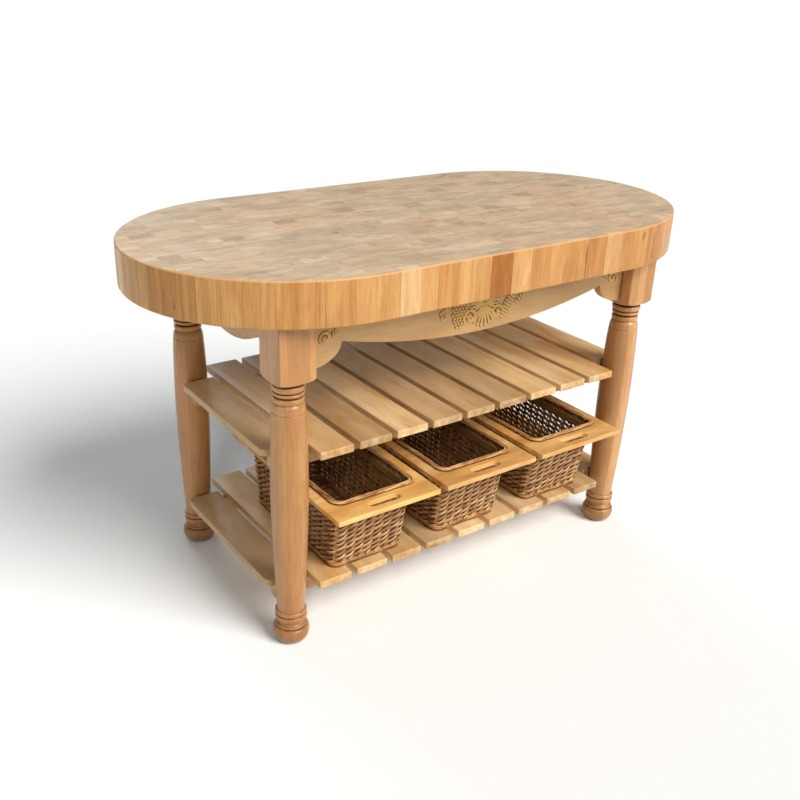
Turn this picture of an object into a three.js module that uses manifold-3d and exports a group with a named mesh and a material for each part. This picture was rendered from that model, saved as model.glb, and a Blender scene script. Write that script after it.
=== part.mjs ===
// Butcher block table: a thick oval end-grain top on a four-legged frame with shaped aprons,
// two slatted shelves and three wicker baskets, each set in a wooden pull-out frame.
//
// Units are millimetres. The origin is on the floor under the middle of the top,
// +X runs along the table, +Y to its back and +Z up. The baskets pull out towards -Y.

import * as THREE from "three";
import { mergeVertices } from "three/addons/utils/BufferGeometryUtils.js";
import Module from "manifold-3d";

const wasm = await Module();
wasm.setup();

// ---- Driving dimensions ----

const GAP = 0.3; // clearance between touching pieces
const TABLE_HEIGHT = 914.4;
const TOP_LENGTH = 1524;
const TOP_DEPTH = 762;
const TOP_THICKNESS = 101.6;
const TOP_STRAIGHT = 718; // length of the straight front and back edges
const TOP_EDGE_RADIUS = 3;

const LEG_SQUARE = 88.9;
const LEG_SPACING_X = 1043;
const LEG_SPACING_Y = 518;
const LEG_TURNING_TOP = 676; // the square block starts here
const SHOULDER = { below: 4, height: 13, ease: 6 }; // rounds off the block's lower corners
const LEG_SEGMENTS = 14;

const APRON_THICKNESS = 22;
const APRON_CUSP_Z = 739; // where the end lobe meets the middle curve
const APRON_LOBE_DROP = 52;
const FRONT_APRON = { lobe: 82, middleZ: 690 };
const SIDE_APRON = { lobe: 64, middleZ: 695 };

const BRACE = { thickness: 22, bottom: 752, height: 54 };
const HANGER_BOLT = {
  radius: 4,
  intoLeg: 30,
  nutRadius: 8,
  nutHeight: 7,
  washerRadius: 11,
  washerThickness: 1.5,
  tail: 6, // the thread that stands out of the nut
};
const TOP_SCREW = { radius: 2.5, intoTop: 30, headRadius: 5.5, headHeight: 3.5, aside: 34 };
const HOLE_CLEARANCE = 0.3;

const SLAT = { count: 11, width: 88.1, thickness: 19, length: 590, bevel: 1.8 };
const SLAT_CORNER = 3;
const END_SLAT_CORNER = 16;
const CLEAT = { length: 1087, height: 45, thickness: 20, corner: 14 };
// legReach is how far a leg's turning reaches inwards from its axis at that shelf's height
const SHELVES = [
  { name: "lower", topZ: 152.4, legReach: 36.8 },
  { name: "upper", topZ: 495.3, legReach: 43.9 },
];

const BASKET_COUNT = 3;
const BASKET_PITCH = 308;
const FRAME = { width: 288, length: 533.4, thickness: 12.7, topZ: 346.4, front: -358, corner: 4 };
const HAND_SLOT = { width: 88, height: 22, fromFront: 32 };
const BASKET = {
  bottomZ: SHELVES[0].topZ + GAP,
  front: { bottom: -264, top: -294 },
  back: { bottom: 124, top: 138 },
  halfWidth: { bottom: 103, top: 111 },
  corner: 23,
  wall: 6.5,
  lipOut: 5.5, // how far the rim reaches over the frame
  lipHeight: 8,
  lipEase: 3, // how much the rim's edges and the bottom's edge are rounded off
  footHeight: 4,
};
const LATH = { thickness: 5, height: 16, belowRim: 8, fromFront: 40, fromBack: 40, corner: 5 };

// ---- Materials ----

const wood = (color, roughness) => new THREE.MeshStandardMaterial({ color, roughness, metalness: 0 });
const steel = (color) => new THREE.MeshStandardMaterial({ color, roughness: 0.4, metalness: 1 });

// ---- Shape helpers ----

// A closed solid from a geometry, for joining and cutting.
function solidOf(geometry) {
  const bare = geometry.clone();
  bare.deleteAttribute("normal");
  bare.deleteAttribute("uv");
  const merged = mergeVertices(bare, 1e-4);
  const vertProperties = new Float32Array(merged.attributes.position.array);
  const triVerts = new Uint32Array(merged.index.array);
  return new wasm.Manifold(new wasm.Mesh({ numProp: 3, vertProperties, triVerts }));
}

function geometryOf(solid) {
  const mesh = solid.getMesh();
  const geometry = new THREE.BufferGeometry();
  geometry.setAttribute("position", new THREE.BufferAttribute(mesh.vertProperties, 3));
  geometry.setIndex(new THREE.BufferAttribute(mesh.triVerts, 1));
  geometry.computeVertexNormals();
  return geometry;
}

function cut(geometry, tools) {
  return geometryOf(tools.reduce((solid, tool) => solid.subtract(solidOf(tool)), solidOf(geometry)));
}

function join(geometries) {
  return geometryOf(geometries.map(solidOf).reduce((whole, next) => whole.add(next)));
}

// A rectangle with one corner radius at its low-X side and one at its high-X side.
function roundedRectangle(x0, y0, x1, y1, left, right = left, ShapeType = THREE.Shape) {
  const shape = new ShapeType();
  shape.moveTo(x0 + left, y0);
  shape.absarc(x1 - right, y0 + right, right, -Math.PI / 2, 0, false);
  shape.absarc(x1 - right, y1 - right, right, 0, Math.PI / 2, false);
  shape.absarc(x0 + left, y1 - left, left, Math.PI / 2, Math.PI, false);
  shape.absarc(x0 + left, y0 + left, left, Math.PI, 1.5 * Math.PI, false);
  return shape;
}

// A flat board with its outline in X and Y, its faces at z 0 and at thickness, and eased edges.
function board(shape, thickness, bevel, curveSegments) {
  const geometry = new THREE.ExtrudeGeometry(shape, {
    depth: thickness - 2 * bevel,
    bevelEnabled: bevel > 0,
    bevelThickness: bevel,
    bevelSize: bevel,
    bevelOffset: -bevel,
    bevelSegments: 1,
    curveSegments,
  });
  return geometry.translate(0, 0, bevel);
}

// A round bar from one point to another.
function bar(from, to, radius, segments = 12) {
  const axis = new THREE.Vector3().subVectors(to, from);
  const middle = new THREE.Vector3().addVectors(from, to).multiplyScalar(0.5);
  const turn = new THREE.Quaternion().setFromUnitVectors(
    new THREE.Vector3(0, 1, 0),
    axis.clone().normalize(),
  );
  const geometry = new THREE.CylinderGeometry(radius, radius, axis.length(), segments);
  return geometry.applyQuaternion(turn).translate(middle.x, middle.y, middle.z);
}

// A closed skin over a stack of rings with equal point counts, capped at both ends.
function loft(rings) {
  const count = rings[0].length;
  const positions = rings.flat().flatMap((point) => point.toArray());
  const index = [];
  for (let ring = 0; ring + 1 < rings.length; ring++) {
    for (let i = 0; i < count; i++) {
      const a = ring * count + i;
      const b = ring * count + ((i + 1) % count);
      index.push(a, b, b + count, a, b + count, a + count);
    }
  }
  const last = (rings.length - 1) * count;
  for (let i = 1; i + 1 < count; i++) {
    index.push(0, i + 1, i);
    index.push(last, last + i, last + i + 1);
  }
  const geometry = new THREE.BufferGeometry();
  geometry.setAttribute("position", new THREE.Float32BufferAttribute(positions, 3));
  geometry.setIndex(index);
  geometry.computeVertexNormals();
  return geometry;
}

// ---- The scene graph ----

const table = new THREE.Group();
table.name = "butcher_block_table";

function add(name, geometry, material, x = 0, y = 0, z = 0) {
  const mesh = new THREE.Mesh(geometry, material);
  mesh.name = name;
  mesh.position.set(x, y, z);
  table.add(mesh);
  return mesh;
}

const CORNERS = [
  { name: "front_left", x: -1, y: -1 },
  { name: "front_right", x: 1, y: -1 },
  { name: "back_left", x: -1, y: 1 },
  { name: "back_right", x: 1, y: 1 },
];
const frameTopZ = TABLE_HEIGHT - TOP_THICKNESS - GAP;

// ---- Corner joinery: a diagonal brace, a hanger bolt into the leg and a screw into the top ----

// The brace's own frame: x points from the leg's inner corner into the table, y along the brace.
function braceFrame(corner) {
  return new THREE.Matrix4().compose(
    new THREE.Vector3(
      corner.x * (LEG_SPACING_X - LEG_SQUARE) / 2,
      corner.y * (LEG_SPACING_Y - LEG_SQUARE) / 2,
      0,
    ),
    new THREE.Quaternion().setFromAxisAngle(
      new THREE.Vector3(0, 0, 1),
      Math.atan2(-corner.y, -corner.x),
    ),
    new THREE.Vector3(1, 1, 1),
  );
}

const braceMiddleZ = BRACE.bottom + BRACE.height / 2;
const braceInnerX = GAP + BRACE.thickness;

function hangerBoltBar(radius, clearance) {
  return bar(
    new THREE.Vector3(-HANGER_BOLT.intoLeg - clearance, 0, braceMiddleZ),
    new THREE.Vector3(braceInnerX + HANGER_BOLT.nutHeight + HANGER_BOLT.tail, 0, braceMiddleZ),
    radius,
  );
}

function topScrewBar(radius, clearance) {
  return bar(
    new THREE.Vector3(braceInnerX / 2, TOP_SCREW.aside, BRACE.bottom - GAP - 1),
    new THREE.Vector3(
      braceInnerX / 2,
      TOP_SCREW.aside,
      TABLE_HEIGHT - TOP_THICKNESS + TOP_SCREW.intoTop + clearance,
    ),
    radius,
  );
}

function cornerBrace() {
  const half = (LEG_SQUARE - APRON_THICKNESS) / 2 * Math.SQRT2 - GAP;
  const shape = new THREE.Shape([
    new THREE.Vector2(GAP, -half),
    new THREE.Vector2(braceInnerX, -half - BRACE.thickness),
    new THREE.Vector2(braceInnerX, half + BRACE.thickness),
    new THREE.Vector2(GAP, half),
  ]);
  const blank = board(shape, BRACE.height, 0, 1).translate(0, 0, BRACE.bottom);
  return cut(blank, [
    hangerBoltBar(HANGER_BOLT.radius + HOLE_CLEARANCE, 0),
    topScrewBar(TOP_SCREW.radius + HOLE_CLEARANCE, 0),
  ]);
}

// A stud with its washer and hexagonal nut seated on the inside of the brace.
function hangerBolt() {
  const seat = braceInnerX + GAP;
  const washer = bar(
    new THREE.Vector3(seat, 0, braceMiddleZ),
    new THREE.Vector3(seat + HANGER_BOLT.washerThickness, 0, braceMiddleZ),
    HANGER_BOLT.washerRadius,
    16,
  );
  const nut = bar(
    new THREE.Vector3(seat + 1, 0, braceMiddleZ),
    new THREE.Vector3(seat + 1 + HANGER_BOLT.nutHeight, 0, braceMiddleZ),
    HANGER_BOLT.nutRadius,
    6,
  );
  return join([hangerBoltBar(HANGER_BOLT.radius, 0), washer, nut]);
}

function topScrew() {
  const head = bar(
    new THREE.Vector3(braceInnerX / 2, TOP_SCREW.aside, BRACE.bottom - GAP - TOP_SCREW.headHeight),
    new THREE.Vector3(braceInnerX / 2, TOP_SCREW.aside, BRACE.bottom - GAP),
    TOP_SCREW.headRadius,
  );
  return join([head, topScrewBar(TOP_SCREW.radius, 0)]);
}

for (const corner of CORNERS) {
  const place = braceFrame(corner);
  add(`${corner.name}_corner_brace`, cornerBrace().applyMatrix4(place), wood(0xcfa873, 0.6));
  add(`${corner.name}_hanger_bolt`, hangerBolt().applyMatrix4(place), steel(0xb9bcc0));
  add(`${corner.name}_top_screw`, topScrew().applyMatrix4(place), steel(0xc8b36a));
}

// ---- Top ----

// Straight front and back edges joined by two half ellipses.
function topOutline() {
  const shape = new THREE.Shape();
  const straight = TOP_STRAIGHT / 2;
  const reach = (TOP_LENGTH - TOP_STRAIGHT) / 2;
  shape.moveTo(-straight, -TOP_DEPTH / 2);
  shape.absellipse(straight, 0, reach, TOP_DEPTH / 2, -Math.PI / 2, Math.PI / 2, false);
  shape.absellipse(-straight, 0, reach, TOP_DEPTH / 2, Math.PI / 2, 1.5 * Math.PI, false);
  return shape;
}

const screwHoles = CORNERS.map((corner) =>
  topScrewBar(TOP_SCREW.radius + HOLE_CLEARANCE, HOLE_CLEARANCE)
    .applyMatrix4(braceFrame(corner))
    .translate(0, 0, -(TABLE_HEIGHT - TOP_THICKNESS)),
);
add(
  "end_grain_top",
  cut(board(topOutline(), TOP_THICKNESS, TOP_EDGE_RADIUS, 24), screwHoles),
  wood(0xd6ab78, 0.45),
  0,
  0,
  TABLE_HEIGHT - TOP_THICKNESS,
);

// ---- Legs ----

// A swelling between two heights: its radius runs from r0 to r1 and bulges out by swell.
function bulge(z0, z1, r0, r1, swell, steps = 2) {
  return Array.from({ length: steps + 1 }, (_, i) => {
    const t = (1 - Math.cos((i / steps) * Math.PI)) / 2;
    const radius = r0 + (r1 - r0) * t + swell * Math.sqrt(Math.max(0, 1 - (2 * t - 1) ** 2));
    return new THREE.Vector2(radius, z0 + (z1 - z0) * t);
  });
}

// Half of the leg's turned outline, from the floor up to the square block.
function legProfile() {
  const shaft = new THREE.SplineCurve([
    new THREE.Vector2(32.6, 90),
    new THREE.Vector2(36.4, 160),
    new THREE.Vector2(40.4, 260),
    new THREE.Vector2(42.9, 350),
    new THREE.Vector2(43.4, 420),
    new THREE.Vector2(42.6, 490),
    new THREE.Vector2(40.6, 565),
    new THREE.Vector2(38, 603),
    new THREE.Vector2(34, 621),
  ]);
  return [
    new THREE.Vector2(0, 0),
    ...bulge(0, 42, 29, 36, 10.8, 4),
    ...bulge(43, 50, 35, 34, 3),
    new THREE.Vector2(31, 55),
    ...bulge(60, 75, 33, 34, 4.6),
    ...bulge(76.5, 88, 34.5, 33, 4.3),
    ...shaft.getPoints(8),
    new THREE.Vector2(31.5, 623.5),
    ...bulge(625, 637, 32.5, 32.5, 2.3),
    new THREE.Vector2(30, 639.5),
    ...bulge(641.5, 650, 33, 34, 2.6),
    ...bulge(652, 667, 34.5, 36, 2.8),
    new THREE.Vector2(35.5, 669),
    new THREE.Vector2(38.5, LEG_TURNING_TOP - 2),
  ];
}

// The turned shoulder that eases the square block's lower corners.
function shoulderProfile() {
  const corner = LEG_SQUARE / Math.SQRT2 + 1;
  return [
    new THREE.Vector2(0, LEG_TURNING_TOP - SHOULDER.below),
    new THREE.Vector2(38, LEG_TURNING_TOP - SHOULDER.below),
    new THREE.Vector2(43.5, LEG_TURNING_TOP),
    new THREE.Vector2(corner - SHOULDER.ease, LEG_TURNING_TOP + SHOULDER.height - SHOULDER.ease),
    new THREE.Vector2(corner, LEG_TURNING_TOP + SHOULDER.height),
    new THREE.Vector2(corner, frameTopZ + 1),
    new THREE.Vector2(0, frameTopZ + 1),
  ];
}

function turned(profile, segments) {
  return new THREE.LatheGeometry(profile, segments).rotateX(Math.PI / 2);
}

function leg(corner) {
  const blockHeight = frameTopZ - LEG_TURNING_TOP + SHOULDER.below;
  const prism = new THREE.BoxGeometry(LEG_SQUARE, LEG_SQUARE, blockHeight);
  prism.translate(0, 0, frameTopZ - blockHeight / 2);
  const block = solidOf(prism).intersect(solidOf(turned(shoulderProfile(), 2 * LEG_SEGMENTS)));
  const shaft = solidOf(turned([...legProfile(), new THREE.Vector2(0, LEG_TURNING_TOP - 2)], LEG_SEGMENTS));
  const hole = hangerBoltBar(HANGER_BOLT.radius + HOLE_CLEARANCE, HOLE_CLEARANCE)
    .applyMatrix4(braceFrame(corner))
    .translate(-corner.x * LEG_SPACING_X / 2, -corner.y * LEG_SPACING_Y / 2, 0);
  return geometryOf(block.add(shaft).subtract(solidOf(hole)));
}

for (const corner of CORNERS) {
  add(
    `${corner.name}_leg`,
    leg(corner),
    wood(0xc8945f, 0.45),
    corner.x * LEG_SPACING_X / 2,
    corner.y * LEG_SPACING_Y / 2,
  );
}

// ---- Aprons ----

// An apron with a rounded lobe at each leg and a shallow curve between the lobes.
function apron(legSpacing, { lobe, middleZ }) {
  const half = (legSpacing - LEG_SQUARE) / 2 - GAP;
  const cusp = half - lobe;
  const rise = APRON_CUSP_Z - middleZ;
  const sweepRadius = (cusp ** 2 + rise ** 2) / (2 * rise);
  const sweepAngle = Math.asin(cusp / sweepRadius);
  const down = -Math.PI / 2;
  const shape = new THREE.Shape();
  shape.moveTo(-half, frameTopZ);
  shape.lineTo(-half, APRON_CUSP_Z - APRON_LOBE_DROP);
  shape.absellipse(-half, APRON_CUSP_Z, lobe, APRON_LOBE_DROP, down, 0, false);
  shape.absarc(0, middleZ + sweepRadius, sweepRadius, down - sweepAngle, down + sweepAngle, false);
  shape.absellipse(half, APRON_CUSP_Z, lobe, APRON_LOBE_DROP, -Math.PI, down, false);
  shape.lineTo(half, frameTopZ);
  return board(shape, APRON_THICKNESS, 0, 10).translate(0, 0, -APRON_THICKNESS / 2);
}

for (const [name, side] of [["front_apron", -1], ["back_apron", 1]]) {
  const geometry = apron(LEG_SPACING_X, FRONT_APRON).rotateX(Math.PI / 2);
  add(name, geometry, wood(0xd9b27c, 0.5), 0, side * LEG_SPACING_Y / 2);
}
for (const [name, side] of [["left_apron", -1], ["right_apron", 1]]) {
  const geometry = apron(LEG_SPACING_Y, SIDE_APRON).rotateX(Math.PI / 2).rotateZ(Math.PI / 2);
  add(name, geometry, wood(0xd9b27c, 0.5), side * LEG_SPACING_X / 2, 0);
}

// ---- Shelves ----

// A slat running front to back; side is -1 or 1 on an end slat, whose outer corners are rounder.
function slat(length, side) {
  const shape = roundedRectangle(
    -SLAT.width / 2, -length / 2, SLAT.width / 2, length / 2,
    side < 0 ? END_SLAT_CORNER : SLAT_CORNER,
    side > 0 ? END_SLAT_CORNER : SLAT_CORNER,
  );
  return board(shape, SLAT.thickness, SLAT.bevel, side ? 3 : 1);
}

// A long batten under the slats, with its lower corners rounded off.
function cleat() {
  const half = CLEAT.length / 2;
  const shape = new THREE.Shape();
  shape.moveTo(-half, 0);
  shape.lineTo(-half, -CLEAT.height + CLEAT.corner);
  shape.absarc(
    -half + CLEAT.corner, -CLEAT.height + CLEAT.corner, CLEAT.corner, Math.PI, 1.5 * Math.PI, false,
  );
  shape.absarc(
    half - CLEAT.corner, -CLEAT.height + CLEAT.corner, CLEAT.corner, -Math.PI / 2, 0, false,
  );
  shape.lineTo(half, 0);
  return board(shape, CLEAT.thickness, 0, 3)
    .translate(0, 0, -CLEAT.thickness / 2)
    .rotateX(Math.PI / 2);
}

for (const shelf of SHELVES) {
  const slatBottomZ = shelf.topZ - SLAT.thickness;
  const legFaceY = LEG_SPACING_Y / 2 - shelf.legReach;
  const pitch = LEG_SPACING_X / (SLAT.count - 1);
  for (let i = 0; i < SLAT.count; i++) {
    const side = i === 0 ? -1 : i === SLAT.count - 1 ? 1 : 0;
    const geometry = slat(side ? 2 * legFaceY : SLAT.length, side);
    const x = -LEG_SPACING_X / 2 + i * pitch;
    const number = String(i + 1).padStart(2, "0");
    add(`${shelf.name}_shelf_slat_${number}`, geometry, wood(0xd8b27e, 0.5), x, 0, slatBottomZ);
  }
  for (const [name, side] of [["front", -1], ["back", 1]]) {
    const y = side * (legFaceY - CLEAT.thickness / 2);
    add(`${shelf.name}_shelf_${name}_cleat`, cleat(), wood(0xd2ab76, 0.55), 0, y, slatBottomZ - GAP);
  }
}

// ---- Baskets ----

// A flat board round the basket, with a wide front rail that has a hand slot.
function basketFrame() {
  const opening = GAP + 0.1;
  const shape = roundedRectangle(
    -FRAME.width / 2, FRAME.front, FRAME.width / 2, FRAME.front + FRAME.length, FRAME.corner,
  );
  const half = BASKET.halfWidth.top + opening;
  shape.holes.push(
    roundedRectangle(
      -half, BASKET.front.top - opening, half, BASKET.back.top + opening,
      BASKET.corner + opening, BASKET.corner + opening, THREE.Path,
    ),
  );
  const slotY = FRAME.front + HAND_SLOT.fromFront;
  shape.holes.push(
    roundedRectangle(
      -HAND_SLOT.width / 2, slotY - HAND_SLOT.height / 2,
      HAND_SLOT.width / 2, slotY + HAND_SLOT.height / 2,
      HAND_SLOT.height / 2 - 0.01, HAND_SLOT.height / 2 - 0.01, THREE.Path,
    ),
  );
  return board(shape, FRAME.thickness, 0, 3);
}

// One level ring of a basket, at a share of its height and grown outwards by a margin.
function basketRing(z, share, margin) {
  const mix = THREE.MathUtils.lerp;
  const half = mix(BASKET.halfWidth.bottom, BASKET.halfWidth.top, share) + margin;
  const shape = roundedRectangle(
    -half,
    mix(BASKET.front.bottom, BASKET.front.top, share) - margin,
    half,
    mix(BASKET.back.bottom, BASKET.back.top, share) + margin,
    BASKET.corner + margin,
  );
  return shape.extractPoints(3).shape.map((point) => new THREE.Vector3(point.x, point.y, z));
}

// The woven shell: a tapered open tub whose rolled rim lies on the frame.
function wickerBasket() {
  const lipZ = FRAME.topZ + GAP;
  const { bottomZ, footHeight, wall, lipOut, lipHeight, lipEase } = BASKET;
  const footShare = footHeight / (lipZ - bottomZ);
  return loft([
    basketRing(bottomZ, 0, -lipEase),
    basketRing(bottomZ + footHeight, footShare, 0),
    basketRing(lipZ, 1, 0),
    basketRing(lipZ, 1, lipOut),
    basketRing(lipZ + lipHeight - lipEase, 1, lipOut),
    basketRing(lipZ + lipHeight, 1, lipOut - lipEase),
    basketRing(lipZ + lipHeight, 1, lipEase - wall),
    basketRing(lipZ + lipHeight - lipEase, 1, -wall),
    basketRing(bottomZ + wall, footShare, -wall),
  ]);
}

// A wooden lath inside the basket's side wall, under the rim.
function sideLath(side) {
  const topZ = FRAME.topZ - LATH.belowRim;
  const lowShare = (topZ - LATH.height - BASKET.bottomZ) / (FRAME.topZ - BASKET.bottomZ);
  const wallX = THREE.MathUtils.lerp(BASKET.halfWidth.bottom, BASKET.halfWidth.top, lowShare);
  const outer = wallX - BASKET.wall - GAP;
  const shape = roundedRectangle(
    BASKET.front.top + LATH.fromFront, topZ - LATH.height,
    BASKET.back.top - LATH.fromBack, topZ, LATH.corner,
  );
  return board(shape, LATH.thickness, 0, 2)
    .rotateX(Math.PI / 2)
    .rotateZ(Math.PI / 2)
    .translate(side > 0 ? outer - LATH.thickness : -outer, 0, 0);
}

for (let i = 0; i < BASKET_COUNT; i++) {
  const x = (i - (BASKET_COUNT - 1) / 2) * BASKET_PITCH;
  const frameBottomZ = FRAME.topZ - FRAME.thickness;
  add(`basket_frame_${i + 1}`, basketFrame(), wood(0xdca45a, 0.4), x, 0, frameBottomZ);
  add(`wicker_basket_${i + 1}`, wickerBasket(), wood(0x9a6a3c, 0.7), x);
  add(`basket_${i + 1}_left_lath`, sideLath(-1), wood(0xc9a468, 0.6), x);
  add(`basket_${i + 1}_right_lath`, sideLath(1), wood(0xc9a468, 0.6), x);
}

export default table;
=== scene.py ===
# Butcher block table: the finished look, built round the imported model.
# Everything is in metres in the row frame: origin on the floor under the middle of the top,
# +X along the table, +Y to its back, +Z up. Only the legs' outline and the carving are drawn
# in millimetres and scaled at the end.

import math
import random

import bmesh
import bpy
import numpy as np
from mathutils import Matrix, Vector


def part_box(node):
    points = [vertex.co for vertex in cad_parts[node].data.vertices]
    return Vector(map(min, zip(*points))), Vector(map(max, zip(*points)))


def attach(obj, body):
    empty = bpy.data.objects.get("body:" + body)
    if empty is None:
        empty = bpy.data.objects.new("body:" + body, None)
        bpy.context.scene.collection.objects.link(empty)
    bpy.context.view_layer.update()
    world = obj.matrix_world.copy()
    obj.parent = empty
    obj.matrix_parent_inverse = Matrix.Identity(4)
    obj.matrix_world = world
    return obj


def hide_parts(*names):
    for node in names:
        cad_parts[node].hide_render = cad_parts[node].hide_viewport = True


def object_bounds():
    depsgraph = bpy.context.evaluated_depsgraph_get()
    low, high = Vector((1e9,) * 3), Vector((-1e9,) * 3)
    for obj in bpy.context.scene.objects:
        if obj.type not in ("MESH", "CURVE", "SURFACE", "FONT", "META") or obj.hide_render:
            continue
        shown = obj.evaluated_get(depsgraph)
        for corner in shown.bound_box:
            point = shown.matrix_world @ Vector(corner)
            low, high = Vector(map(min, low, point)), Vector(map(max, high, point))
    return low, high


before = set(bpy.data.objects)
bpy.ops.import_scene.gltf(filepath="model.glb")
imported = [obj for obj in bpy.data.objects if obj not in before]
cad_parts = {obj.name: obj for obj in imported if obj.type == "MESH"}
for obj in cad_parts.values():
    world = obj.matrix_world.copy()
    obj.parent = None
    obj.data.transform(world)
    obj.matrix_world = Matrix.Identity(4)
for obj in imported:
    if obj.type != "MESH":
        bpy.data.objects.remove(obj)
cad_low, cad_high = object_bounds()

MM = 0.001
CORNERS = [f"{y}_{x}" for y in ("front", "back") for x in ("left", "right")]
BASKETS = (1, 2, 3)


def size(node):
    """Lowest corner, highest corner and middle of a CAD node."""
    low, high = (Vector(corner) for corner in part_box(node))
    return low, high, (low + high) / 2


def new_object(name, data):
    """An object that holds the data, linked to the scene."""
    thing = bpy.data.objects.new(name, data)
    bpy.context.scene.collection.objects.link(thing)
    return thing


# ---- Camera, light and floor ----

CAMERA_PLACE = (-1.4227, -1.8721, 1.4724)
CAMERA_YAW = 0.6128  # to the right of +Y, in radians
CAMERA_PITCH = 0.4290  # below the horizon
CAMERA_ROLL = 0.0308
CAMERA_LENS = 42.6
CAMERA_SENSOR = 36.0
CAMERA_SHIFT = (0.028, 0.0)
CAMERA_RANGE = (0.05, 400)  # nearest and farthest point it sees
KEY_POWER = 3.7
FILL_POWER = 0.45
BACK_POWER = 0.6
WORLD_POWER = 0.22
BACKDROP = 1.0  # how bright the studio wall looks to the camera
FLOOR_REACH = 120.0


def add_camera():
    """The camera, high and to the front left of the table."""
    data = bpy.data.cameras.new("camera")
    data.lens = CAMERA_LENS
    data.sensor_width = CAMERA_SENSOR
    data.shift_x, data.shift_y = CAMERA_SHIFT
    data.clip_start, data.clip_end = CAMERA_RANGE
    camera = new_object("camera", data)
    turn = Matrix.Rotation(-CAMERA_YAW, 4, "Z")
    turn = turn @ Matrix.Rotation(math.pi / 2 - CAMERA_PITCH, 4, "X")
    turn = turn @ Matrix.Rotation(CAMERA_ROLL, 4, "Z")
    camera.matrix_world = Matrix.Translation(CAMERA_PLACE) @ turn
    bpy.context.scene.camera = camera


def add_sun(name, place, power, spread, colour):
    """A broad soft light aimed at the origin; spread is its width in degrees."""
    data = bpy.data.lights.new(name, "SUN")
    data.energy = power
    data.angle = math.radians(spread)
    data.color = colour
    light = new_object(name, data)
    light.location = place
    light.rotation_euler = (-Vector(place)).to_track_quat("-Z", "Y").to_euler()


def add_studio():
    """A pale surround, white where the camera sees it, with a key light and two fills."""
    scene = bpy.context.scene
    scene.view_settings.view_transform = "Standard"
    world = bpy.data.worlds.new("studio")
    world.use_nodes = True
    nodes, links = world.node_tree.nodes, world.node_tree.links
    sky = nodes["Background"]
    sky.inputs["Color"].default_value = (0.93, 1.0, 1.0, 1)
    sky.inputs["Strength"].default_value = WORLD_POWER
    backdrop = nodes.new("ShaderNodeBackground")
    backdrop.inputs["Color"].default_value = (1.0, 1.0, 0.99, 1)
    backdrop.inputs["Strength"].default_value = BACKDROP
    seen = nodes.new("ShaderNodeMixShader")
    links.new(nodes.new("ShaderNodeLightPath").outputs["Is Camera Ray"], seen.inputs[0])
    links.new(sky.outputs[0], seen.inputs[1])
    links.new(backdrop.outputs[0], seen.inputs[2])
    links.new(seen.outputs[0], nodes["World Output"].inputs["Surface"])
    scene.world = world
    add_sun("key", (1.2, -3.1, 2.8), KEY_POWER, 36, (1.0, 0.975, 0.94))
    add_sun("left_fill", (-1.8, -2.6, 2.3), FILL_POWER, 7, (1.0, 1.0, 1.0))
    add_sun("back_fill", (0.3, 3.0, 1.6), BACK_POWER, 30, (0.86, 0.96, 1.0))


def add_floor():
    """A round sheet of pale paper that reaches far past the table."""
    mesh = bpy.data.meshes.new("floor")
    angles = [math.radians(degrees) for degrees in range(0, 360, 6)]
    edge = [(FLOOR_REACH * math.cos(angle), FLOOR_REACH * math.sin(angle), 0) for angle in angles]
    mesh.from_pydata(edge, [], [tuple(range(len(edge)))])
    floor = new_object("floor", mesh)
    material = Shader("floor_paper", roughness=0.9)
    paper = material.noise(material.place, 900, detail=2)
    material.colour(material.ramp(paper, ((0.3, (0.925, 0.93, 0.935)), (0.7, (0.935, 0.94, 0.945)))))
    mesh.materials.append(material.material)


# ---- Materials ----


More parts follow.
